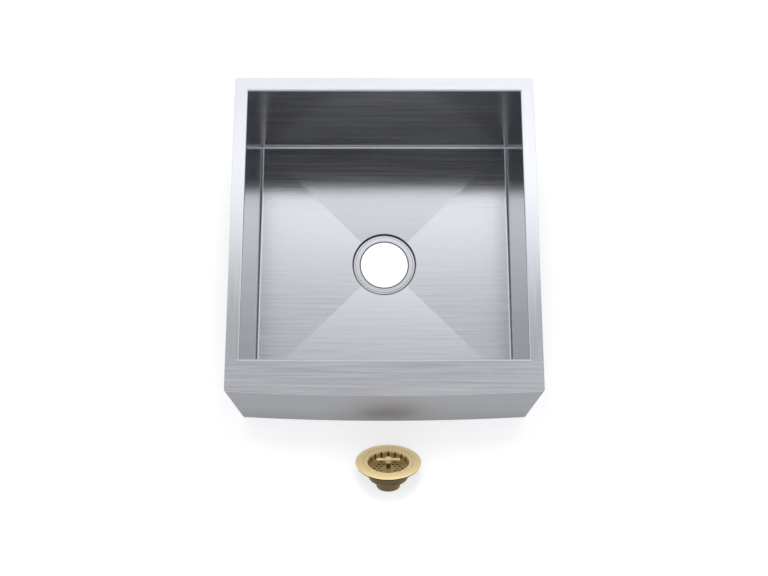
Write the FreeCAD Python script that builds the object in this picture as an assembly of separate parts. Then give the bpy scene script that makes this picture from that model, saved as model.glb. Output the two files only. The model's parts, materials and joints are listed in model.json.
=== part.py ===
import FreeCAD, Part
import math
import os

# Farmhouse apron front sink in brushed stainless steel, with its basket strainer standing by.
# Millimetres. X to the right, Y to the back, Z up. The origin is the centre of the drain opening,
# on the plane that the sink stands on.

# ---- sink: driving dimensions ----
SINK_WIDTH = 508.0
SIDE_RIM = 22.5
BOWL_LENGTH = 464.5
BACK_RIM = 24.5
FRONT_DECK = 52.0        # from the bowl to the line through the front corners
APRON_BOW = 7.0          # how far the middle of the front stands ahead of that line
BOWL_DEPTH = 249.0       # rim to floor, at the walls
SHEET = 1.5
FLOOR_FALL = 4.0         # the floor's fall from the walls to the centre
RECESS_DROP = 3.5        # drain seat below the floor's lowest point
BOWL_BEND = 4.0          # inner bend radius of the bowl
RIM_BEND = 2.5           # radius where the walls turn out into the rim
CORNER_RADIUS = 3.0      # outer corners in plan
EDGE_BREAK = 0.7
DRAIN_RADIUS = 43.5
RECESS_RADIUS = 58.5
RECESS_SLOPE = 1.2       # run of the recess's sloping wall
RECESS_FILLET = 1.0
DECK_FOLD = 6.0          # how far the deck turns down to meet the front wall
RETURN_DEPTH = 62.0      # apron returns, from the front corners
RETURN_FLANGE_BASE = 20.0
LOWER_FLANGE = 25.0
BRACE_SPACING = 125.0
BRACE_FLANGE = 16.0
BRACE_END_GAP = 28.0     # between a brace's ends and the apron's top and bottom
PAD_THICKNESS = 3.0
PAD_CORNER = 10.0
WALL_PAD_WIDTH = 300.0
WALL_PAD_HEIGHT = 150.0
FRONT_PAD_MARGIN = 12.0  # between a front pad and the braces beside it
FLOOR_PAD_NEAR = 76.0    # from the drain's centre to a floor pad's near edge
FLOOR_PAD_FAR = 200.0
FLOOR_PAD_MARGIN = 14.0  # between a floor pad and the creases

# ---- strainer: driving dimensions, along its own axis, with the flange's top plane at 0 ----
FLANGE_RADIUS = 57.15
FLANGE_THICKNESS = 2.0
FLANGE_CROWN = 0.5
FLANGE_NECK = 1.2        # extra thickness of the flange round the barrel
TURNED_EDGE = 0.6        # rounding of the strainer's turned edges and its gasket
BARREL_RADIUS = 42.0
BARREL_DEPTH = 16.0
CUP_RADIUS = 35.0
CUP_DEPTH = 31.0
CUP_CORNER = 3.0
CUP_WALL = 2.0
NECK_RADIUS = 20.95      # outlet thread, 1 1/4 in pipe size
NECK_WALL = 2.5
STRAINER_DEPTH = 49.0
SHOULDER_SLOPE = 2.0
SEAT_DEPTH = 1.6
SEAT_SHELF = 3.0         # width of the shelf that the basket's rim lies on
GASKET_RADIUS = 56.0
GASKET_THICKNESS = 2.6
GASKET_BORE_GAP = 4.5    # from the barrel to the gasket
BASKET_SHEET = 0.9
BASKET_TOP_RADIUS = 36.4
BASKET_BASE_RADIUS = 34.2
BASKET_DEPTH = 14.6
BASKET_CORNER = 3.0
BASKET_LIP = 1.2
SLOT_COUNT = 18
SLOT_WIDTH = 3.2
SLOT_TOP = 2.7
SLOT_BOTTOM = 12.3
HOLE_PITCH = 8.0
HOLE_RADIUS = 2.2
HOLE_FIELD_INNER = 10.5
HOLE_FIELD_OUTER = 28.5
STEM_RADIUS = 4.0
BUSH_RADIUS = 6.0
BUSH_HEAD_RADIUS = 8.5
BUSH_HEAD = 1.2
BUSH_TAIL = 2.0          # below the basket floor
BUSH_NUT_FLATS = 15.0
BUSH_NUT_HEIGHT = 1.8
COLLAR_RADIUS = 5.5
COLLAR_THICKNESS = 0.7
PLATE_RADIUS = 16.0
PLATE_THICKNESS = 1.2
STOPPER_RADIUS = 21.5
STOPPER_THICKNESS = 3.8
STOPPER_TAPER = 1.5
STEM_NUT_FLATS = 13.0
STEM_NUT_HEIGHT = 2.2
HUB_RADIUS = 5.6
HUB_BASE = -2.0          # hub's underside, from the flange's top plane
HUB_HEIGHT = 10.0
HUB_DOME = 2.2
HUB_WEB = 0.8            # metal between the stem's hole and the bar's hole
BAR_HEIGHT = 3.4         # bar's centre above the flange's top plane
BAR_RADIUS = 2.2
BAR_END_RADIUS = 2.6
BAR_LENGTH = 41.0

# ---- clearances ----
SET_GAP = 0.3            # between parts of different bodies that rest on each other
RIM_GAP = 0.4            # round the basket's rim
RUNNING_GAP = 0.06       # stem in its bush, plate and stopper
FIXED_GAP = 0.1          # round a part fastened in a hole

# ---- where the strainer lies ----
STRAINER_X = 7.0
STRAINER_AHEAD = 77.6    # from the apron's middle to the flange's centre

# ---- worked out from the above ----
FLOOR_Z = FLOOR_FALL + RECESS_DROP + SHEET
RIM_Z = FLOOR_Z + BOWL_DEPTH
UNDER_RIM_Z = RIM_Z - SHEET
HALF_WIDTH = SINK_WIDTH / 2
HALF_BOWL_X = HALF_WIDTH - SIDE_RIM
HALF_BOWL_Y = BOWL_LENGTH / 2
FACET_X = HALF_BOWL_X - BOWL_BEND
FACET_Y = HALF_BOWL_Y - BOWL_BEND
BACK_Y = HALF_BOWL_Y + BACK_RIM
CORNER_Y = -HALF_BOWL_Y - FRONT_DECK
FRONT_WALL_Y = -HALF_BOWL_Y - SHEET
BOW_RADIUS = (HALF_WIDTH ** 2 + APRON_BOW ** 2) / (2 * APRON_BOW)
BOW_CENTRE_Y = CORNER_Y - APRON_BOW + BOW_RADIUS
BASKET_FLOOR = -BASKET_DEPTH
STOPPER_BASE = -(CUP_DEPTH - CUP_WALL) + SET_GAP
PLATE_BASE = STOPPER_BASE + STOPPER_THICKNESS
COLLAR_BASE = PLATE_BASE + PLATE_THICKNESS + SET_GAP
RUNNING_BORE = STEM_RADIUS + RUNNING_GAP
STEM_HOLE_TOP = BAR_HEIGHT - BAR_RADIUS - HUB_WEB
CLEAR = 20.0             # how far a cutting solid runs past what it cuts


# ---- small helpers ----
def vec(x, y, z):
    return FreeCAD.Vector(x, y, z)


def box(x0, x1, y0, y1, z0, z1):
    return Part.makeBox(x1 - x0, y1 - y0, z1 - z0, vec(x0, y0, z0))


def cylinder(radius, z0, z1, x=0.0, y=0.0):
    return Part.makeCylinder(radius, z1 - z0, vec(x, y, z0))


def prism(plan_points, z0, z1):
    corners = [vec(x, y, z0) for x, y in plan_points]
    face = Part.Face(Part.makePolygon(corners + corners[:1]))
    return face.extrude(vec(0, 0, z1 - z0))


def polyhedron(faces):
    shell = Part.makeShell([Part.Face(Part.makePolygon(loop + loop[:1])) for loop in faces])
    return Part.makeSolid(shell)


def hexagon(flats, z0, z1):
    reach = flats / math.sqrt(3)
    turns = [math.radians(60 * i) for i in range(6)]
    return prism([(reach * math.cos(a), reach * math.sin(a)) for a in turns], z0, z1)


def ring(outer, bore, z0, z1):
    return cylinder(outer, z0, z1).cut(cylinder(bore, z0 - 1, z1 + 1))


def revolve(steps):
    """Turns a profile round Z. A step is (radius, z), or (through, end) for an arc."""
    points = []
    edges = []
    for step in steps:
        arc = isinstance(step[0], tuple)
        end = vec(step[1][0], 0, step[1][1]) if arc else vec(step[0], 0, step[1])
        if arc:
            through = vec(step[0][0], 0, step[0][1])
            edges.append(Part.Arc(points[-1], through, end).toShape())
        elif points:
            edges.append(Part.LineSegment(points[-1], end).toShape())
        points.append(end)
    if points[-1].distanceToPoint(points[0]) > 1e-6:
        edges.append(Part.LineSegment(points[-1], points[0]).toShape())
    face = Part.Face(Part.Wire(edges))
    return face.revolve(vec(0, 0, 0), vec(0, 0, 1), 360)


def corner_arc(centre_r, centre_z, radius, start_deg, end_deg):
    """An arc step for revolve: its middle point and its end point."""
    middle = math.radians((start_deg + end_deg) / 2)
    end = math.radians(end_deg)
    return (
        (centre_r + radius * math.cos(middle), centre_z + radius * math.sin(middle)),
        (centre_r + radius * math.cos(end), centre_z + radius * math.sin(end)),
    )


def fillet_where(shape, radius, wanted):
    edges = [e for e in shape.Edges if wanted(e)]
    return shape.makeFillet(radius, edges)


def is_upright(edge):
    a, b = edge.Vertexes[0].Point, edge.Vertexes[-1].Point
    return abs(a.x - b.x) < 1e-6 and abs(a.y - b.y) < 1e-6 and abs(a.z - b.z) > 1e-6


def all_at_height(edge, z):
    return all(abs(v.Z - z) < 1e-6 for v in edge.Vertexes)


# ---- plan outlines of the front ----
def front_plan(inset, back_y):
    """Face between the bowed front, the sides and back_y, moved in by inset all round the front."""
    half = HALF_WIDTH - inset
    radius = BOW_RADIUS - inset
    corner_y = BOW_CENTRE_Y - math.sqrt(radius ** 2 - half ** 2)
    left = vec(-half, corner_y, 0)
    right = vec(half, corner_y, 0)
    bow = Part.Arc(left, vec(0, BOW_CENTRE_Y - radius, 0), right).toShape()
    sides = Part.makePolygon([right, vec(half, back_y, 0), vec(-half, back_y, 0), left])
    return Part.Face(Part.Wire([bow] + sides.Edges))


def front_prism(inset, back_y, z0, z1):
    """The same outline as a solid, its front corners rounded to stay parallel with the outside."""
    solid = front_plan(inset, back_y).extrude(vec(0, 0, z1 - z0))
    solid.translate(vec(0, 0, z0))
    if inset >= CORNER_RADIUS:
        return solid
    return fillet_where(
        solid, CORNER_RADIUS - inset, lambda e: is_upright(e) and e.CenterOfMass.y < back_y - 1
    )


# ---- bowl ----
def bowl_block(grow, top_z):
    """The bowl's inside (grow 0) or outside (grow SHEET): walls, bends and creased floor."""
    half_x, half_y = HALF_BOWL_X + grow, HALF_BOWL_Y + grow
    low_z = FLOOR_Z - grow
    block = box(-half_x, half_x, -half_y, half_y, low_z, top_z)
    block = fillet_where(block, BOWL_BEND + grow, lambda e: all_at_height(e, low_z))
    return block.fuse(floor_pyramid(low_z))


def floor_pyramid(base_z):
    """The four creased facets, falling from the bends to the centre."""
    apex = vec(0, 0, base_z - FLOOR_FALL)
    signs = [(-1, -1), (1, -1), (1, 1), (-1, 1)]
    base = [vec(sx * FACET_X, sy * FACET_Y, base_z) for sx, sy in signs]
    faces = [base] + [[base[i], apex, base[(i + 1) % 4]] for i in range(4)]
    return polyhedron(faces)


def floor_top(distance_share):
    """Height of the floor where a point lies at that share of the way to its wall."""
    return FLOOR_Z - FLOOR_FALL * (1 - distance_share)


def drain_recess():
    """The pressed seat round the drain: the solid under it and the space cut out above it."""
    low_r = RECESS_RADIUS - RECESS_SLOPE
    lowest_edge = floor_top(RECESS_RADIUS / math.sqrt(2) / FACET_X)
    highest_edge = floor_top(RECESS_RADIUS / FACET_X)
    join_z = lowest_edge - SHEET / 2
    solid = revolve([
        (0, 0),
        (low_r, 0),
        (low_r + SHEET, SHEET),
        (RECESS_RADIUS + SHEET, join_z),
        (0, join_z),
    ])
    space = revolve([
        (0, SHEET),
        (low_r - RECESS_FILLET, SHEET),
        corner_arc(low_r - RECESS_FILLET, SHEET + RECESS_FILLET, RECESS_FILLET, -90, 0),
        (RECESS_RADIUS, lowest_edge - EDGE_BREAK / 2),
        (RECESS_RADIUS + EDGE_BREAK, highest_edge + EDGE_BREAK / 4),
        (RECESS_RADIUS + EDGE_BREAK, highest_edge + CLEAR),
        (0, highest_edge + CLEAR),
    ])
    return solid, space


def rim_plate():
    """The flat rim and deck, as one outline."""
    plate = front_plan(0, BACK_Y).extrude(vec(0, 0, SHEET))
    plate.translate(vec(0, 0, UNDER_RIM_Z))
    plate = fillet_where(plate, CORNER_RADIUS, is_upright)
    return fillet_where(plate, EDGE_BREAK, lambda e: all_at_height(e, RIM_Z))


def is_mouth_edge(edge):
    centre = edge.CenterOfMass
    inside = abs(centre.x) < HALF_BOWL_X + 0.1 and abs(centre.y) < HALF_BOWL_Y + 0.1
    return inside and all_at_height(edge, RIM_Z)


def bowl_and_rim():
    seat, seat_space = drain_recess()
    body = rim_plate().fuse([bowl_block(SHEET, UNDER_RIM_Z), seat])
    drain = cylinder(DRAIN_RADIUS, -CLEAR, CLEAR)
    body = body.cut([bowl_block(0, RIM_Z + CLEAR), seat_space, drain]).removeSplitter()
    return fillet_where(body, RIM_BEND, is_mouth_edge)


def side_region(side):
    """Space that one side sheet fills: its wall, and its rim between the back rim and the deck."""
    outer = HALF_WIDTH + CLEAR
    low_x, high_x = sorted((side * FACET_X, side * outer))
    return box(low_x, high_x, FRONT_WALL_Y - SHEET, HALF_BOWL_Y, 0, RIM_Z + CLEAR)


def make_bowl():
    whole = bowl_and_rim()
    deck_region = box(
        -HALF_WIDTH - CLEAR, HALF_WIDTH + CLEAR, CORNER_Y - APRON_BOW - CLEAR, -HALF_BOWL_Y,
        RIM_Z - DECK_FOLD, RIM_Z + CLEAR,
    )
    far = SINK_WIDTH
    floor_region = box(-far, far, -far, far, -CLEAR, FLOOR_Z + BOWL_BEND)
    walls = whole.cut([deck_region, floor_region])
    between = walls.cut([side_region(-1), side_region(1)])
    return {
        "bowl_floor": whole.common(floor_region),
        "bowl_back": between.common(box(-far, far, 0, far, 0, far)),
        "bowl_front": between.common(box(-far, far, -far, 0, 0, far)),
        "bowl_side_left": walls.common(side_region(-1)),
        "bowl_side_right": walls.common(side_region(1)),
        "front_deck": whole.common(deck_region),
    }


# ---- apron ----
def make_apron():
    back_y = CORNER_Y + RETURN_DEPTH
    split_y = CORNER_Y + CORNER_RADIUS
    bent = front_prism(0, back_y, 0, UNDER_RIM_Z).cut(
        front_prism(SHEET, back_y + CLEAR, -CLEAR, RIM_Z + CLEAR)
    )
    ahead = box(
        -HALF_WIDTH - CLEAR, HALF_WIDTH + CLEAR, CORNER_Y - APRON_BOW - CLEAR, split_y,
        -CLEAR, RIM_Z + CLEAR,
    )
    parts = {"apron_face": bent.common(ahead)}
    for name, side in (("apron_return_left", -1), ("apron_return_right", 1)):
        parts[name] = apron_return(side, split_y, back_y)
    lower = front_prism(SHEET, CORNER_Y + LOWER_FLANGE, 0, SHEET)
    parts["apron_lower_flange"] = lower
    return parts


def apron_return(side, split_y, back_y):
    """Sheet folded back from the face, with a flange that reaches in to the bowl's side wall."""
    outer = side * HALF_WIDTH
    inner = side * (HALF_WIDTH - SHEET)
    wall = side * (HALF_BOWL_X + SHEET)
    sheet = box(min(outer, inner), max(outer, inner), split_y, back_y, 0, UNDER_RIM_Z)
    flange = box(
        min(inner, wall), max(inner, wall), back_y - SHEET, back_y, RETURN_FLANGE_BASE, UNDER_RIM_Z
    )
    return sheet.fuse(flange).removeSplitter()


def apron_brace(x):
    """Upright channel between the bowl's front wall and the apron: web and two welded flanges."""
    low, high = BRACE_END_GAP, UNDER_RIM_Z - BRACE_END_GAP
    web = box(x - SHEET / 2, x + SHEET / 2, CORNER_Y - APRON_BOW, FRONT_WALL_Y, low, high)
    wall_flange = box(
        x - SHEET / 2, x + BRACE_FLANGE, FRONT_WALL_Y - SHEET, FRONT_WALL_Y, low, high
    )
    face_flange = box(
        x - BRACE_FLANGE, x + SHEET / 2, CORNER_Y - APRON_BOW, CORNER_Y + RETURN_DEPTH, low, high
    )
    behind_face = front_prism(2 * SHEET, FRONT_WALL_Y, low, high)
    inside = front_prism(SHEET, FRONT_WALL_Y, low, high)
    brace = web.fuse([wall_flange, face_flange.cut(behind_face)]).common(inside)
    return brace.removeSplitter()


def make_braces():
    places = (("left", -BRACE_SPACING), ("centre", 0.0), ("right", BRACE_SPACING))
    return {"apron_brace_" + name: apron_brace(x) for name, x in places}


# ---- sound pads ----
def round_short_edges(pad, along, radius):
    """Rounds the pad's corners: its four edges that run along its thickness."""
    def wanted(edge):
        direction = edge.Vertexes[-1].Point.sub(edge.Vertexes[0].Point).normalize()
        return abs(direction.dot(along)) > 0.999
    return fillet_where(pad, radius, wanted)


def wall_pads():
    middle_z = (FLOOR_Z + RIM_Z) / 2
    low, high = middle_z - WALL_PAD_HEIGHT / 2, middle_z + WALL_PAD_HEIGHT / 2
    half = WALL_PAD_WIDTH / 2
    outer_x = HALF_BOWL_X + SHEET
    outer_y = HALF_BOWL_Y + SHEET
    left = box(-outer_x - PAD_THICKNESS, -outer_x, -half, half, low, high)
    right = box(outer_x, outer_x + PAD_THICKNESS, -half, half, low, high)
    back = box(-half, half, outer_y, outer_y + PAD_THICKNESS, low, high)
    near = FRONT_PAD_MARGIN
    far = BRACE_SPACING - FRONT_PAD_MARGIN
    return {
        "pad_left": round_short_edges(left, vec(1, 0, 0), PAD_CORNER),
        "pad_right": round_short_edges(right, vec(1, 0, 0), PAD_CORNER),
        "pad_back": round_short_edges(back, vec(0, 1, 0), PAD_CORNER),
        "pad_front_left": front_pad(BRACE_FLANGE - far, -near, low, high),
        "pad_front_right": front_pad(near + BRACE_FLANGE, far, low, high),
    }


def front_pad(x0, x1, low, high):
    """Pad on the front wall, between two braces."""
    pad = box(x0, x1, FRONT_WALL_Y - PAD_THICKNESS, FRONT_WALL_Y, low, high)
    return round_short_edges(pad, vec(0, 1, 0), PAD_CORNER)


def floor_pad(turn_quarters):
    """Pad under one floor facet. Facet 0 faces the back; the others follow anticlockwise."""
    across, along = (FACET_X, FACET_Y) if turn_quarters % 2 == 0 else (FACET_Y, FACET_X)
    margin = FLOOR_PAD_MARGIN * math.sqrt(2)

    def corner(side, distance, drop):
        reach = distance * across / along - margin
        return vec(side * reach, distance, floor_top(distance / along) - SHEET - drop)

    near, far = FLOOR_PAD_NEAR, FLOOR_PAD_FAR
    plan = [(-1, near), (1, near), (1, far), (-1, far)]
    top = [corner(s, d, 0) for s, d in plan]
    bottom = [corner(s, d, PAD_THICKNESS) for s, d in plan]
    sides = [[top[i], top[(i + 1) % 4], bottom[(i + 1) % 4], bottom[i]] for i in range(4)]
    pad = polyhedron([top, bottom] + sides)
    pad.rotate(vec(0, 0, 0), vec(0, 0, 1), 90 * turn_quarters)
    return round_short_edges(pad, vec(0, 0, 1), PAD_CORNER)


def floor_pads():
    order = ("back", "left", "front", "right")
    return {"pad_floor_" + name: floor_pad(i) for i, name in enumerate(order)}


# ---- strainer, on its own axis ----
def strainer_body():
    edge_r = FLANGE_RADIUS - TURNED_EDGE
    seat_r = BARREL_RADIUS - CUP_WALL
    shelf_r = seat_r + SEAT_SHELF
    bore = NECK_RADIUS - NECK_WALL
    inner_cup = CUP_RADIUS - CUP_WALL
    inner_corner = CUP_CORNER - CUP_WALL / 2
    floor_z = -(CUP_DEPTH - CUP_WALL)
    shoulder_z = -BARREL_DEPTH - SHOULDER_SLOPE
    crown_r = (shelf_r + edge_r) / 2
    return revolve([
        (shelf_r, -SEAT_DEPTH),
        (shelf_r, -TURNED_EDGE),
        (shelf_r + TURNED_EDGE, 0),
        ((crown_r, FLANGE_CROWN), (edge_r, -TURNED_EDGE)),
        corner_arc(edge_r, -2 * TURNED_EDGE, TURNED_EDGE, 90, 0),
        (FLANGE_RADIUS, -FLANGE_THICKNESS + TURNED_EDGE),
        corner_arc(edge_r, -FLANGE_THICKNESS + TURNED_EDGE, TURNED_EDGE, 0, -90),
        (BARREL_RADIUS + GASKET_BORE_GAP - TURNED_EDGE, -FLANGE_THICKNESS),
        (BARREL_RADIUS + SEAT_SHELF / 2, -FLANGE_THICKNESS - FLANGE_NECK),
        (BARREL_RADIUS, -FLANGE_THICKNESS - FLANGE_NECK),
        (BARREL_RADIUS, -BARREL_DEPTH),
        (CUP_RADIUS, shoulder_z),
        (CUP_RADIUS, -CUP_DEPTH + CUP_CORNER),
        corner_arc(CUP_RADIUS - CUP_CORNER, -CUP_DEPTH + CUP_CORNER, CUP_CORNER, 0, -90),
        (NECK_RADIUS, -CUP_DEPTH),
        (NECK_RADIUS, -STRAINER_DEPTH + TURNED_EDGE),
        corner_arc(NECK_RADIUS - TURNED_EDGE, -STRAINER_DEPTH + TURNED_EDGE, TURNED_EDGE, 0, -90),
        (bore, -STRAINER_DEPTH),
        (bore, floor_z),
        (inner_cup - inner_corner, floor_z),
        corner_arc(inner_cup - inner_corner, floor_z + inner_corner, inner_corner, -90, 0),
        (inner_cup, shoulder_z + CUP_WALL / 2),
        (seat_r, -BARREL_DEPTH + CUP_WALL / 2),
        (seat_r, -SEAT_DEPTH),
    ])


def basket_shell():
    """The basket's drawn sheet before its slots and holes are cut."""
    rim_r = BARREL_RADIUS - CUP_WALL + SEAT_SHELF - RIM_GAP
    low = -SEAT_DEPTH + SET_GAP
    top = low + BASKET_SHEET
    t = BASKET_SHEET
    bend = BASKET_CORNER
    wall_top = (BASKET_TOP_RADIUS, top - BASKET_LIP)
    lip = BASKET_LIP * (1 - math.sqrt(0.5))
    corner_z = BASKET_FLOOR + bend
    corner_r = BASKET_BASE_RADIUS - bend
    bush_hole = BUSH_RADIUS + FIXED_GAP
    return revolve([
        (rim_r, low),
        (rim_r, top),
        (BASKET_TOP_RADIUS + BASKET_LIP, top),
        ((BASKET_TOP_RADIUS + lip, top - lip), wall_top),
        (BASKET_BASE_RADIUS, corner_z),
        corner_arc(corner_r, corner_z, bend, 0, -90),
        (bush_hole, BASKET_FLOOR),
        (bush_hole, BASKET_FLOOR - t),
        (corner_r, BASKET_FLOOR - t),
        corner_arc(corner_r, corner_z, bend + t, -90, 0),
        (BASKET_TOP_RADIUS + t, low),
    ])


def slot_cutter():
    """One upright slot with round ends, through the basket's wall on +X."""
    inner = BASKET_BASE_RADIUS - BASKET_CORNER
    outer = BASKET_TOP_RADIUS + BASKET_CORNER
    half = SLOT_WIDTH / 2
    high, low = -SLOT_TOP - half, -SLOT_BOTTOM + half
    ends = [
        Part.makeCylinder(half, outer - inner, vec(inner, 0, z), vec(1, 0, 0)) for z in (low, high)
    ]
    return box(inner, outer, -half, half, low, high).fuse(ends)


def hole_places():
    """Staggered grid of drain holes over the basket floor."""
    row_step = HOLE_PITCH * math.sqrt(3) / 2
    rows = int(HOLE_FIELD_OUTER / row_step) + 1
    columns = int(HOLE_FIELD_OUTER / HOLE_PITCH) + 1
    places = []
    for row in range(-rows, rows + 1):
        shift = HOLE_PITCH / 2 if row % 2 else 0.0
        for column in range(-columns, columns + 1):
            x, y = column * HOLE_PITCH + shift, row * row_step
            reach = math.hypot(x, y)
            if HOLE_FIELD_INNER < reach < HOLE_FIELD_OUTER - HOLE_RADIUS:
                places.append((x, y))
    return places


def basket():
    cutters = []
    for i in range(SLOT_COUNT):
        slot = slot_cutter()
        slot.rotate(vec(0, 0, 0), vec(0, 0, 1), 90 + i * 360 / SLOT_COUNT)
        cutters.append(slot)
    for x, y in hole_places():
        cutters.append(cylinder(HOLE_RADIUS, BASKET_FLOOR - 2, BASKET_FLOOR + 2, x, y))
    return basket_shell().cut(cutters)


def stem_bush():
    under = BASKET_FLOOR - BASKET_SHEET
    head = cylinder(BUSH_HEAD_RADIUS, BASKET_FLOOR, BASKET_FLOOR + BUSH_HEAD)
    tail = cylinder(BUSH_RADIUS, under - BUSH_TAIL, BASKET_FLOOR)
    bore = cylinder(RUNNING_BORE, under - CLEAR, BASKET_FLOOR + CLEAR)
    return head.fuse(tail).removeSplitter().cut(bore)


def bush_nut():
    top = BASKET_FLOOR - BASKET_SHEET
    nut = hexagon(BUSH_NUT_FLATS, top - BUSH_NUT_HEIGHT, top)
    return nut.cut(cylinder(BUSH_RADIUS + FIXED_GAP, top - CLEAR, top + 1))


def stem():
    nut_top = STOPPER_BASE - SET_GAP
    rod = cylinder(STEM_RADIUS, nut_top - STEM_NUT_HEIGHT, STEM_HOLE_TOP - FIXED_GAP)
    collar = cylinder(COLLAR_RADIUS, COLLAR_BASE, COLLAR_BASE + COLLAR_THICKNESS)
    return rod.fuse(collar).removeSplitter()


def stem_nut():
    top = STOPPER_BASE - SET_GAP
    nut = hexagon(STEM_NUT_FLATS, top - STEM_NUT_HEIGHT, top)
    return nut.cut(cylinder(STEM_RADIUS + FIXED_GAP, top - CLEAR, top + 1))


def stopper_plate():
    return ring(PLATE_RADIUS, RUNNING_BORE, PLATE_BASE, PLATE_BASE + PLATE_THICKNESS)


def stopper_rubber():
    """Rubber disc that covers the outlet, tapered towards its seat."""
    top = PLATE_BASE
    return revolve([
        (RUNNING_BORE, STOPPER_BASE),
        (STOPPER_RADIUS - STOPPER_TAPER, STOPPER_BASE),
        (STOPPER_RADIUS, STOPPER_BASE + STOPPER_TAPER),
        (STOPPER_RADIUS, top - TURNED_EDGE),
        (STOPPER_RADIUS - TURNED_EDGE, top),
        (RUNNING_BORE, top),
    ])


def handle_bar():
    """Round bar with fuller, rounded ends, turned about X."""
    half = BAR_LENGTH / 2
    end = BAR_END_RADIUS
    bar = revolve([
        (0, -half),
        ((end * math.sqrt(0.5), -half + end * (1 - math.sqrt(0.5))), (end, -half + end)),
        (BAR_RADIUS, -half + 3 * end),
        (BAR_RADIUS, half - 3 * end),
        (end, half - end),
        ((end * math.sqrt(0.5), half - end * (1 - math.sqrt(0.5))), (0, half)),
    ])
    bar.rotate(vec(0, 0, 0), vec(0, 1, 0), 90)
    bar.translate(vec(0, 0, BAR_HEIGHT))
    return bar


def handle_hub():
    """Domed hub, cross-drilled for the bar and drilled from below for the stem."""
    top = HUB_BASE + HUB_HEIGHT
    shoulder = top - HUB_DOME
    sphere = (HUB_RADIUS ** 2 + HUB_DOME ** 2) / (2 * HUB_DOME)
    slope = math.degrees(math.acos(HUB_RADIUS / sphere))
    hub = revolve([
        (0, HUB_BASE),
        (HUB_RADIUS - TURNED_EDGE, HUB_BASE),
        (HUB_RADIUS, HUB_BASE + TURNED_EDGE),
        (HUB_RADIUS, shoulder),
        corner_arc(0, top - sphere, sphere, slope, 90),
    ])
    cross = Part.makeCylinder(
        BAR_RADIUS + FIXED_GAP / 2, 2 * CLEAR, vec(-CLEAR, 0, BAR_HEIGHT), vec(1, 0, 0)
    )
    return hub.cut([cross, cylinder(STEM_RADIUS + FIXED_GAP / 2, HUB_BASE - 1, STEM_HOLE_TOP)])


def flange_gasket():
    """Thick rubber washer under the flange, rounded where the strainer lies on it."""
    bore = BARREL_RADIUS + GASKET_BORE_GAP
    low = -FLANGE_THICKNESS - GASKET_THICKNESS
    return revolve([
        (bore, low),
        (bore, -FLANGE_THICKNESS),
        (GASKET_RADIUS, -FLANGE_THICKNESS),
        (GASKET_RADIUS, low + TURNED_EDGE),
        corner_arc(GASKET_RADIUS - TURNED_EDGE, low + TURNED_EDGE, TURNED_EDGE, 0, -90),
    ])


def make_strainer():
    return {
        "strainer_body": strainer_body(),
        "flange_gasket": flange_gasket(),
        "basket": basket(),
        "stem_bush": stem_bush(),
        "bush_nut": bush_nut(),
        "stem": stem(),
        "stem_nut": stem_nut(),
        "stopper_plate": stopper_plate(),
        "stopper_rubber": stopper_rubber(),
        "handle_bar": handle_bar(),
        "handle_hub": handle_hub(),
    }


def strainer_placement():
    """The strainer lies tipped towards the sink, on its gasket's edge and its neck's edge."""
    run = GASKET_RADIUS - NECK_RADIUS
    gasket_depth = FLANGE_THICKNESS + GASKET_THICKNESS
    tilt = math.atan2(STRAINER_DEPTH - gasket_depth, run)
    edge_r = GASKET_RADIUS - TURNED_EDGE
    edge_depth = gasket_depth - TURNED_EDGE
    height = edge_r * math.sin(tilt) + edge_depth * math.cos(tilt) + TURNED_EDGE
    place = vec(STRAINER_X, CORNER_Y - APRON_BOW - STRAINER_AHEAD, height)
    print("strainer: tilt %.4f deg, flange centre %s" % (math.degrees(tilt), place))
    return FreeCAD.Placement(place, FreeCAD.Rotation(vec(1, 0, 0), -math.degrees(tilt)))


# ---- build ----
def save(name, shape):
    if not shape.isValid():
        print("not valid:", name)
    print("%-22s solids %d  volume %.1f" % (name, len(shape.Solids), shape.Volume))
    shape.exportStep("parts/" + name + ".step")


def main():
    os.makedirs("parts", exist_ok=True)
    for maker in (make_bowl, make_apron, make_braces, wall_pads, floor_pads):
        for name, shape in maker().items():
            save(name, shape)
    placement = strainer_placement()
    for name, shape in make_strainer().items():
        shape.Placement = placement.multiply(shape.Placement)
        save(name, shape)


main()
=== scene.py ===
import bpy
import json
import math
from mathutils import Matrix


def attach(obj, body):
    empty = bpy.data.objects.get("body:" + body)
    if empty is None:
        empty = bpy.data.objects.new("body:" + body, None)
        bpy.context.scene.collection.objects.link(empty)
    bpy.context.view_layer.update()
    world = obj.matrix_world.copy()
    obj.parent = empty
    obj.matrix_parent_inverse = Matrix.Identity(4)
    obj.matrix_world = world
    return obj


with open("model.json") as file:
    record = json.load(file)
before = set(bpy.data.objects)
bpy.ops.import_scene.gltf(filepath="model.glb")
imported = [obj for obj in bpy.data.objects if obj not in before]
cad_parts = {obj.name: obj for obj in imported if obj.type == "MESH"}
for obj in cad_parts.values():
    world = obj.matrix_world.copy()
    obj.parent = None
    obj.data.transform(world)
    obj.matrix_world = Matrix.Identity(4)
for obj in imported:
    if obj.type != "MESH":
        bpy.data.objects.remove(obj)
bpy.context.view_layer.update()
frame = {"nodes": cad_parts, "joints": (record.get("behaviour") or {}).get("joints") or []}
nodes = frame["nodes"]


# ---- node helpers ----
def new_group(name, inputs, outputs):
    """An empty shader node group with named sockets, given as (name, type, default)."""
    group = bpy.data.node_groups.new(name, "ShaderNodeTree")
    for label, kind, value in inputs:
        socket = group.interface.new_socket(label, in_out="INPUT", socket_type=kind)
        if value is not None:
            socket.default_value = value
    for label, kind in outputs:
        group.interface.new_socket(label, in_out="OUTPUT", socket_type=kind)
    return group, group.nodes.new("NodeGroupInput"), group.nodes.new("NodeGroupOutput")


def node(tree, kind, values=None, **settings):
    made = tree.nodes.new(kind)
    for key, value in settings.items():
        setattr(made, key, value)
    for key, value in (values or {}).items():
        made.inputs[key].default_value = value
    return made


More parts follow.
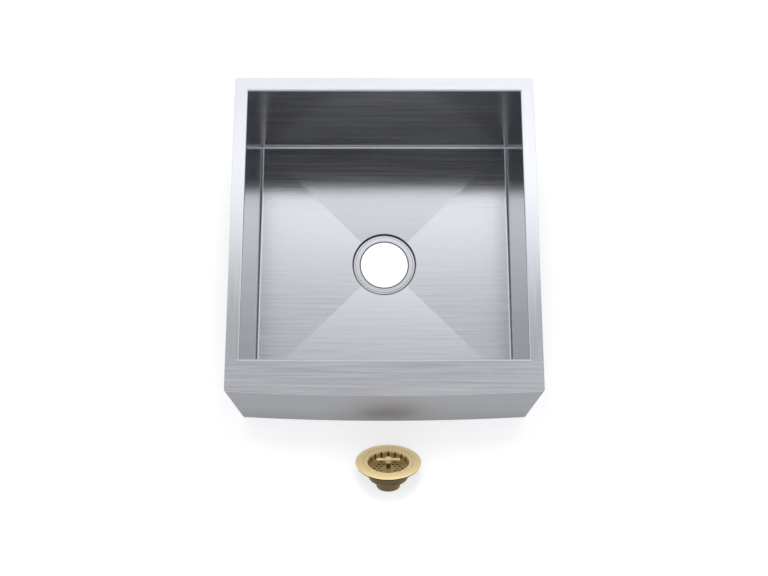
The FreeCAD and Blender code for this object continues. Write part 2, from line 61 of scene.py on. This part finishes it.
def link(tree, *pairs):
    for source, target in pairs:
        tree.links.new(source, target)


def new_material(name):
    material = bpy.data.materials.new(name)
    material.use_nodes = True
    tree = material.node_tree
    tree.nodes.clear()
    shader = tree.nodes.new("ShaderNodeBsdfPrincipled")
    output = tree.nodes.new("ShaderNodeOutputMaterial")
    tree.links.new(shader.outputs[0], output.inputs["Surface"])
    return material, tree, shader


# ---- shared effects ----
def make_brushing():
    """Straight polishing lines along the first axis of the vector that comes in."""
    group, start, end = new_group(
        "polishing lines",
        [
            ("Vector", "NodeSocketVector", None),
            ("Fine Scale", "NodeSocketFloat", 2600.0),
            ("Broad Scale", "NodeSocketFloat", 260.0),
        ],
        [("Fine", "NodeSocketFloat"), ("Broad", "NodeSocketFloat"), ("Both", "NodeSocketFloat")],
    )
    stretch = node(group, "ShaderNodeMapping", {"Scale": (0.012, 1.0, 1.0)})
    wide_stretch = node(group, "ShaderNodeMapping", {"Scale": (0.022, 1.0, 1.0)})
    fine = node(group, "ShaderNodeTexNoise", {"Detail": 3.0, "Roughness": 0.6})
    broad = node(group, "ShaderNodeTexNoise", {"Detail": 4.0, "Roughness": 0.55})
    mixed = node(group, "ShaderNodeMix", {"Factor": 0.45}, data_type="FLOAT")
    link(
        group,
        (start.outputs["Vector"], stretch.inputs["Vector"]),
        (start.outputs["Vector"], wide_stretch.inputs["Vector"]),
        (stretch.outputs["Vector"], fine.inputs["Vector"]),
        (wide_stretch.outputs["Vector"], broad.inputs["Vector"]),
        (start.outputs["Fine Scale"], fine.inputs["Scale"]),
        (start.outputs["Broad Scale"], broad.inputs["Scale"]),
        (fine.outputs["Fac"], mixed.inputs["A"]),
        (broad.outputs["Fac"], mixed.inputs["B"]),
        (fine.outputs["Fac"], end.inputs["Fine"]),
        (broad.outputs["Fac"], end.inputs["Broad"]),
        (mixed.outputs["Result"], end.inputs["Both"]),
    )
    return group


BRUSHING = make_brushing()


def place_group(tree, group, values=None):
    made = tree.nodes.new("ShaderNodeGroup")
    made.node_tree = group
    for key, value in (values or {}).items():
        made.inputs[key].default_value = value
    return made


def math_node(tree, operation, first, second=None):
    """A math node on sockets or plain numbers; gives its output."""
    made = node(tree, "ShaderNodeMath", operation=operation)
    for place, value in enumerate((first, second)):
        if isinstance(value, bpy.types.NodeSocket):
            tree.links.new(value, made.inputs[place])
        elif value is not None:
            made.inputs[place].default_value = value
    return made.outputs[0]


def mix_color(tree, factor, low, high, blend="MIX"):
    """A colour mix on sockets or plain colours; gives its output."""
    made = node(tree, "ShaderNodeMix", data_type="RGBA", blend_type=blend)
    for label, value in (("Factor", factor), ("A", low), ("B", high)):
        if isinstance(value, bpy.types.NodeSocket):
            tree.links.new(value, made.inputs[label])
        elif label == "Factor":
            made.inputs[label].default_value = value
        else:
            made.inputs[label].default_value = (*value, 1.0)
    return made.outputs["Result"]


def spread(tree, source, low, high, to_low, to_high, smooth=False):
    """A map range with both ends held; gives its output."""
    kind = "SMOOTHSTEP" if smooth else "LINEAR"
    made = node(
        tree, "ShaderNodeMapRange",
        {"From Min": low, "From Max": high, "To Min": to_low, "To Max": to_high},
        interpolation_type=kind,
    )
    tree.links.new(source, made.inputs["Value"])
    return made.outputs["Result"]


def line_at(tree, distance, place, half_width):
    """1 on a soft line at that distance, 0 away from it."""
    away = math_node(tree, "ABSOLUTE", math_node(tree, "SUBTRACT", distance, place))
    return spread(tree, away, 0.0, half_width, 1.0, 0.0, smooth=True)


def make_round_coords(name, centre, axis):
    """Distance from an axis, depth along it, and turn about it, in the object's own coordinates."""
    outputs = [(label, "NodeSocketFloat") for label in ("Radius", "Depth", "Turn")]
    group, _, end = new_group(name, [], outputs)
    coords = node(group, "ShaderNodeTexCoord")
    moved = node(group, "ShaderNodeVectorMath", {1: centre}, operation="SUBTRACT")
    lean = math.atan2(axis[1], axis[2])
    turned = node(group, "ShaderNodeVectorRotate", {"Angle": lean}, rotation_type="X_AXIS")
    split = node(group, "ShaderNodeSeparateXYZ")
    link(
        group,
        (coords.outputs["Object"], moved.inputs[0]),
        (moved.outputs[0], turned.inputs["Vector"]),
        (turned.outputs["Vector"], split.inputs[0]),
        (split.outputs["Z"], end.inputs["Depth"]),
    )
    squares = [math_node(group, "POWER", split.outputs[label], 2.0) for label in ("X", "Y")]
    flat = math_node(group, "SQRT", math_node(group, "ADD", *squares))
    turn = math_node(group, "ARCTAN2", split.outputs["Y"], split.outputs["X"])
    link(group, (flat, end.inputs["Radius"]), (turn, end.inputs["Turn"]))
    return group


HINGE = next(joint for joint in frame["joints"] if joint["name"] == "handle_turn")
ROUND_DRAIN = make_round_coords("round the drain", (0.0, 0.0, 0.0), (0.0, 0.0, 1.0))
ROUND_STRAINER = make_round_coords("round the strainer", HINGE["pos_m"], HINGE["axis"])


def steel(name, turn, roughness, bump, lines=(), shade=1.0, streak=0.1, edge_shade=None):
    """Brushed stainless steel. turn takes the object's axes to the brushing direction.

    lines are (radius, half width, darkness) of painted shade lines along the pressed creases round the drain.
    streak is how far the polishing lines lighten and darken the colour."""
    material, tree, shader = new_material(name)
    shader.inputs["Metallic"].default_value = 1.0
    if edge_shade:
        shader.inputs["Specular Tint"].default_value = (*edge_shade, 1.0)
    coords = node(tree, "ShaderNodeTexCoord")
    turned = node(tree, "ShaderNodeMapping", {"Rotation": turn})
    brushed = place_group(tree, BRUSHING)
    relief = node(tree, "ShaderNodeBump", {"Strength": bump, "Distance": 0.0001})
    link(
        tree,
        (coords.outputs["Object"], turned.inputs["Vector"]),
        (turned.outputs["Vector"], brushed.inputs["Vector"]),
        (brushed.outputs["Fine"], relief.inputs["Height"]),
        (relief.outputs["Normal"], shader.inputs["Normal"]),
    )
    tone = mix_color(
        tree, brushed.outputs["Both"],
        [c * shade * (1.0 - streak) for c in STEEL_GREY], [c * shade * (1.0 + streak) for c in STEEL_GREY],
    )
    if lines:
        drain = place_group(tree, ROUND_DRAIN)
        for radius, half_width, dark in lines:
            # painted shade: each of the drain's creases gets a dark line in the colour
            crease_shade = line_at(tree, drain.outputs["Radius"], radius, half_width)
            tone = mix_color(tree, math_node(tree, "MULTIPLY", crease_shade, dark), tone, (0.02, 0.02, 0.025))
    rough = spread(tree, brushed.outputs["Broad"], 0.25, 0.75, *roughness)
    link(tree, (tone, shader.inputs["Base Color"]), (rough, shader.inputs["Roughness"]))
    return material


def rubber(name, dark, light, scale, bump):
    material, tree, shader = new_material(name)
    shader.inputs["Roughness"].default_value = 0.8
    coords = node(tree, "ShaderNodeTexCoord")
    speckle = node(tree, "ShaderNodeTexNoise", {"Scale": scale, "Detail": 6.0, "Roughness": 0.65})
    relief = node(tree, "ShaderNodeBump", {"Strength": bump, "Distance": 0.0004})
    link(
        tree,
        (coords.outputs["Object"], speckle.inputs["Vector"]),
        (mix_color(tree, speckle.outputs["Fac"], dark, light), shader.inputs["Base Color"]),
        (speckle.outputs["Fac"], relief.inputs["Height"]),
        (relief.outputs["Normal"], shader.inputs["Normal"]),
    )
    return material


def brass(name, raw_and_shade_depth, raw_and_shade_tones, hollow=(), threads=()):
    """Satin brass on show, and darker tones below the given depth: partly duller unplated brass, partly
    painted shade.

    hollow gives the barrel's, cup's and bore's radius and the cup's top and floor: painted shade inside them.
    threads are (upper depth, lower depth) of the threaded stretches."""
    material, tree, shader = new_material(name)
    shader.inputs["Metallic"].default_value = 0.45
    coords = node(tree, "ShaderNodeTexCoord")
    grain = node(tree, "ShaderNodeTexNoise", {"Scale": 900.0, "Detail": 4.0, "Roughness": 0.6})
    cloud = node(tree, "ShaderNodeTexNoise", {"Scale": 60.0, "Detail": 3.0, "Roughness": 0.5})
    link(
        tree,
        (coords.outputs["Object"], grain.inputs["Vector"]),
        (coords.outputs["Object"], cloud.inputs["Vector"]),
    )
    place = place_group(tree, ROUND_STRAINER)
    # below the given depth the colour is partly duller brass and partly painted shade
    below = spread(tree, place.outputs["Depth"], raw_and_shade_depth - 0.0004, raw_and_shade_depth + 0.0004, 1.0, 0.0)
    satin = mix_color(tree, grain.outputs["Fac"], SATIN_BRASS[0], SATIN_BRASS[1])
    raw_and_shade = mix_color(tree, cloud.outputs["Fac"], raw_and_shade_tones[0], raw_and_shade_tones[1])
    if hollow:
        barrel, cup, bore, step, floor = hollow
        below_step = spread(tree, place.outputs["Depth"], step - 0.0002, step, cup, barrel)
        limit = node(
            tree, "ShaderNodeMapRange", {"From Min": floor, "From Max": floor + 0.0002, "To Min": bore}
        )
        link(tree, (place.outputs["Depth"], limit.inputs["Value"]), (below_step, limit.inputs["To Max"]))
        inside = math_node(tree, "LESS_THAN", place.outputs["Radius"], limit.outputs["Result"])
        # painted shade: the hollow of the strainer body is darkened
        raw_and_shade = mix_color(tree, inside, raw_and_shade, HOLLOW_SHADE_BRASS)
    height = grain.outputs["Fac"]
    groove = None
    for upper, lower in threads:
        along = math_node(tree, "DIVIDE", place.outputs["Depth"], THREAD_PITCH)
        round_part = math_node(tree, "DIVIDE", place.outputs["Turn"], 2 * math.pi)
        wave = math_node(tree, "PINGPONG", math_node(tree, "ADD", along, round_part), 0.5)
        high = spread(tree, place.outputs["Depth"], upper - 0.0004, upper, 1.0, 0.0)
        low = spread(tree, place.outputs["Depth"], lower, lower + 0.0004, 0.0, 1.0)
        here = math_node(tree, "MULTIPLY", math_node(tree, "MULTIPLY", high, low), wave)
        groove = here if groove is None else math_node(tree, "MAXIMUM", groove, here)
    if groove is not None:
        deep = math_node(tree, "MULTIPLY", groove, 2.0)
        raw_and_shade = mix_color(tree, deep, raw_and_shade, raw_and_shade_tones[1])
        height = math_node(tree, "ADD", math_node(tree, "MULTIPLY", groove, 6.0), height)
    relief = node(tree, "ShaderNodeBump", {"Strength": 0.25, "Distance": 0.00015})
    rough = spread(tree, grain.outputs["Fac"], 0.3, 0.7, 0.34, 0.46)
    link(
        tree,
        (height, relief.inputs["Height"]),
        (relief.outputs["Normal"], shader.inputs["Normal"]),
        (mix_color(tree, below, satin, raw_and_shade), shader.inputs["Base Color"]),
        (rough, shader.inputs["Roughness"]),
    )
    return material


QUARTER = math.pi / 2
ALONG_X = (0.0, 0.0, 0.0)
ALONG_Y = (0.0, 0.0, -QUARTER)
STEEL_GREY = (0.62, 0.627, 0.655)
SATIN_BRASS = ((0.95, 0.73, 0.36), (1.0, 0.82, 0.46))
# painted shade: darker brass on the basket's lower walls and floor
SHADED_BASKET_BRASS = ((0.36, 0.24, 0.08), (0.6, 0.43, 0.18))
# unplated brass of the strainer's underside and hidden parts, darkened further as painted shade
RAW_AND_SHADED_BRASS = ((0.06, 0.037, 0.008), (0.17, 0.112, 0.032))
# painted shade in the strainer body's hollow
HOLLOW_SHADE_BRASS = (0.03, 0.018, 0.006)
THREAD_PITCH = 0.0018
# the strainer body's inside: radius of barrel, cup and bore, then depth of the cup's top and floor
HOLLOW = (0.041, 0.034, 0.0197, -0.0165, -0.0302)

# painted shade: dark lines in the colour along the drain's pressed creases, at the hole edge, foot and top of
# the seat's wall
DRAIN_CREASE_SHADE = ((0.0446, 0.0021, 1.0), (0.0532, 0.0012, 0.4), (0.0578, 0.0026, 1.0))

steel_x = steel("brushed steel, across", ALONG_X, (0.14, 0.22), 0.3, streak=0.16)
steel_floor = steel("brushed steel, floor", ALONG_X, (0.15, 0.22), 0.14, DRAIN_CREASE_SHADE)
# painted shade: the deck's steel colour is darkened
steel_deck = steel("brushed steel, deck", ALONG_X, (0.15, 0.27), 0.38, shade=0.86)
# painted shade: the reflection at grazing angles is dimmed a little
steel_y = steel(
    "brushed steel, lengthways", ALONG_Y, (0.11, 0.18), 0.15, streak=0.16, edge_shade=(0.86, 0.86, 0.86),
)
# painted shade: the apron's steel colour and its reflection at grazing angles are darkened
steel_apron = steel(
    "brushed steel, apron", ALONG_X, (0.52, 0.62), 0.35, shade=0.88, edge_shade=(0.07, 0.07, 0.07),
)
weld_steel = steel("weld steel", ALONG_X, (0.3, 0.42), 0.1, shade=0.72)
pad_rubber = rubber("sound pad rubber", (0.045, 0.045, 0.05), (0.1, 0.1, 0.105), 700.0, 0.6)
seal_rubber = rubber("black seal rubber", (0.008, 0.008, 0.008), (0.022, 0.022, 0.022), 1200.0, 0.2)
body_brass = brass("strainer body brass", -0.0018, RAW_AND_SHADED_BRASS, HOLLOW, ((-0.0045, -0.0155), (-0.033, -0.0485)))
# painted shade below the basket's top: its lower walls and floor are darker
basket_brass = brass("basket brass", -0.0045, SHADED_BASKET_BRASS)
handle_brass = brass("handle brass", -0.1, SHADED_BASKET_BRASS)
hidden_brass = brass("dull shaded brass", 0.1, RAW_AND_SHADED_BRASS)

FINISHES = {
    "bowl_floor": steel_floor,
    "bowl_back": steel_x,
    "bowl_front": steel_x,
    "bowl_side_left": steel_y,
    "bowl_side_right": steel_y,
    "front_deck": steel_deck,
    "apron_face": steel_apron,
    "apron_return_left": steel_y,
    "apron_return_right": steel_y,
    "apron_lower_flange": steel_x,
    "flange_gasket": seal_rubber,
    "stopper_rubber": seal_rubber,
    "strainer_body": body_brass,
    "handle_bar": handle_brass,
    "handle_hub": handle_brass,
    "stem": hidden_brass,
    "stem_nut": hidden_brass,
    "bush_nut": hidden_brass,
    "stopper_plate": hidden_brass,
}


def finish_for(name):
    if name in FINISHES:
        return FINISHES[name]
    if name.startswith("pad_"):
        return pad_rubber
    if name.startswith("apron_brace"):
        return steel_x
    return basket_brass


for name, part in nodes.items():
    part.data.materials.clear()
    part.data.materials.append(finish_for(name))

bpy.ops.object.select_all(action="DESELECT")


# ---- welds: the beads that join the sheets on the outside ----
WELD_RADIUS = 0.0017
WELD_STEP = 0.0019


def weld_bead(name, x, y, bottom, top):
    """Overlapping puddles of weld metal, run up a corner."""
    bpy.ops.mesh.primitive_uv_sphere_add(
        segments=12, ring_count=8, radius=WELD_RADIUS, location=(x, y, bottom), scale=(1.0, 1.0, 0.8)
    )
    bead = bpy.context.object
    bead.name = name
    bpy.ops.object.transform_apply(location=True, rotation=True, scale=True)
    run = bead.modifiers.new("run", "ARRAY")
    run.count = round((top - bottom) / WELD_STEP)
    run.use_relative_offset = False
    run.use_constant_offset = True
    run.constant_offset_displace = (0.0, 0.0, WELD_STEP)
    bpy.ops.object.modifier_apply(modifier=run.name)
    bpy.ops.object.shade_smooth()
    bead.data.materials.append(weld_steel)
    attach(bead, "sink")
    bpy.ops.object.select_all(action="DESELECT")


for side, sign in (("left", -1), ("right", 1)):
    weld_bead(f"weld_back_{side}", sign * 0.2330, 0.2336, 0.015, 0.254)
    weld_bead(f"weld_return_{side}", sign * 0.2334, -0.2220, 0.004, 0.250)


# ---- floor ----
def make_floor():
    """A pale floor that keeps the soft shadow and reads as white in the picture and in metal."""
    bpy.ops.mesh.primitive_plane_add(size=12.0, location=(0.0, 0.0, -0.0002))
    floor = bpy.context.object
    floor.name = "studio_floor"
    material = bpy.data.materials.new("white floor")
    material.use_nodes = True
    tree = material.node_tree
    tree.nodes.clear()
    diffuse = node(tree, "ShaderNodeBsdfDiffuse", {"Color": (0.5, 0.5, 0.5, 1.0)})
    glow = node(tree, "ShaderNodeEmission", {"Color": (1.0, 1.0, 1.0, 1.0)})
    path = node(tree, "ShaderNodeLightPath")
    mirrored = node(tree, "ShaderNodeMath", operation="MAXIMUM")
    seen = node(tree, "ShaderNodeMath", operation="MAXIMUM")
    strength = node(tree, "ShaderNodeMath", {1: 0.6}, operation="MULTIPLY")
    total = node(tree, "ShaderNodeAddShader")
    output = node(tree, "ShaderNodeOutputMaterial")
    link(
        tree,
        (path.outputs["Is Glossy Ray"], mirrored.inputs[0]),
        (path.outputs["Is Transmission Ray"], mirrored.inputs[1]),
        (path.outputs["Is Camera Ray"], seen.inputs[0]),
        (mirrored.outputs[0], seen.inputs[1]),
        (seen.outputs[0], strength.inputs[0]),
        (strength.outputs[0], glow.inputs["Strength"]),
        (diffuse.outputs[0], total.inputs[0]),
        (glow.outputs[0], total.inputs[1]),
        (total.outputs[0], output.inputs["Surface"]),
    )
    floor.data.materials.append(material)


make_floor()


# ---- light: a soft overhead tent. Its bands are what the brushed bowl mirrors ----
SKY_LEAN = (
    (-90, 1.0), (-45, 1.05), (-36, 0.8), (-29, 0.04), (-21, 0.01), (-17, 0.04),
    (-10, 0.03), (-7.5, 0.2), (-5.5, 1.0), (-3.5, 1.6), (2, 1.6), (4.5, 1.0), (7, 0.6),
    (10.5, 0.64), (12, 0.62), (13.5, 0.52), (14.5, 0.56), (16, 0.86), (17.5, 1.22), (19, 1.46),
    (21, 1.75), (23.5, 1.5), (25, 1.38), (40, 1.45), (90, 1.2),
)
SKY_SIDE = ((-1.0, 0.9), (-0.3, 0.95), (-0.06, 0.975), (0.07, 1.03), (0.35, 1.08), (1.0, 1.1))
SKY_EDGE = 1.0


def level_curve(tree, stops, low, high):
    """A brightness read off a list of (place, level), as a map range into a colour ramp."""
    scaled = node(
        tree, "ShaderNodeMapRange", {"From Min": low, "From Max": high, "To Min": 0.0, "To Max": 1.0}
    )
    ramp = node(tree, "ShaderNodeValToRGB")
    marks = ramp.color_ramp.elements
    top = max(level for _, level in stops)
    for i, (place, level) in enumerate(stops):
        position = (place - low) / (high - low)
        mark = marks[i] if i == 0 else (marks[-1] if i == 1 else marks.new(position))
        mark.position = position
        mark.color = (level / top, level / top, level / top, 1.0)
    gain = node(tree, "ShaderNodeMath", {1: top}, operation="MULTIPLY")
    link(tree, (scaled.outputs["Result"], ramp.inputs["Fac"]), (ramp.outputs["Color"], gain.inputs[0]))
    return scaled.inputs["Value"], gain.outputs[0]


def make_sky():
    world = bpy.data.worlds.new("studio tent")
    bpy.context.scene.world = world
    world.use_nodes = True
    tree = world.node_tree
    tree.nodes.clear()
    coords = node(tree, "ShaderNodeTexCoord")
    split = node(tree, "ShaderNodeSeparateXYZ")
    lean = node(tree, "ShaderNodeMath", operation="ARCTAN2")
    degrees = node(tree, "ShaderNodeMath", {1: 180 / math.pi}, operation="MULTIPLY")
    lean_in, lean_out = level_curve(tree, SKY_LEAN, -90, 90)
    side_in, side_out = level_curve(tree, SKY_SIDE, -1.0, 1.0)
    overhead = node(tree, "ShaderNodeMath", operation="MULTIPLY")
    height = spread(tree, split.outputs["Z"], 0.12, 0.4, 0.0, 1.0, smooth=True)
    inward = spread(tree, math_node(tree, "ABSOLUTE", split.outputs["X"]), 0.35, 0.65, 1.0, 0.0, smooth=True)
    blend = node(tree, "ShaderNodeMix", {"A": SKY_EDGE}, data_type="FLOAT")
    glow = node(tree, "ShaderNodeBackground", {"Color": (0.965, 0.975, 1.0, 1.0)})
    output = node(tree, "ShaderNodeOutputWorld")
    link(
        tree,
        (coords.outputs["Generated"], split.inputs[0]),
        (split.outputs["Y"], lean.inputs[0]),
        (split.outputs["Z"], lean.inputs[1]),
        (lean.outputs[0], degrees.inputs[0]),
        (degrees.outputs[0], lean_in),
        (split.outputs["X"], side_in),
        (lean_out, overhead.inputs[0]),
        (side_out, overhead.inputs[1]),
        (math_node(tree, "MULTIPLY", height, inward), blend.inputs["Factor"]),
        (overhead.outputs[0], blend.inputs["B"]),
        (blend.outputs["Result"], glow.inputs["Strength"]),
        (glow.outputs[0], output.inputs["Surface"]),
    )


make_sky()


def make_lamp():
    """A soft lamp for the strainer, which stands in the sink's shade.

    Metal doesn't mirror the lamp itself, only the floor that it brightens a little."""
    data = bpy.data.lights.new("strainer lamp", "AREA")
    data.size = 0.3
    data.energy = 6.5
    lamp = bpy.data.objects.new("strainer lamp", data)
    bpy.context.scene.collection.objects.link(lamp)
    lamp.location = (0.0, -0.05, 0.9)
    lamp.rotation_euler = (-math.atan2(0.32, 0.85), 0.0, 0.0)
    lamp.visible_glossy = False
    lamp.visible_camera = False


make_lamp()


# ---- camera ----
def make_camera():
    data = bpy.data.cameras.new("camera")
    camera = bpy.data.objects.new("camera", data)
    bpy.context.scene.collection.objects.link(camera)
    camera.location = (-0.0005, -0.6116, 2.0590)
    camera.rotation_euler = (math.radians(15.41), 0.0, 0.0)
    data.lens = 54.09
    data.sensor_width = 36.0
    bpy.context.scene.camera = camera


make_camera()
bpy.context.scene.view_settings.view_transform = "Standard"
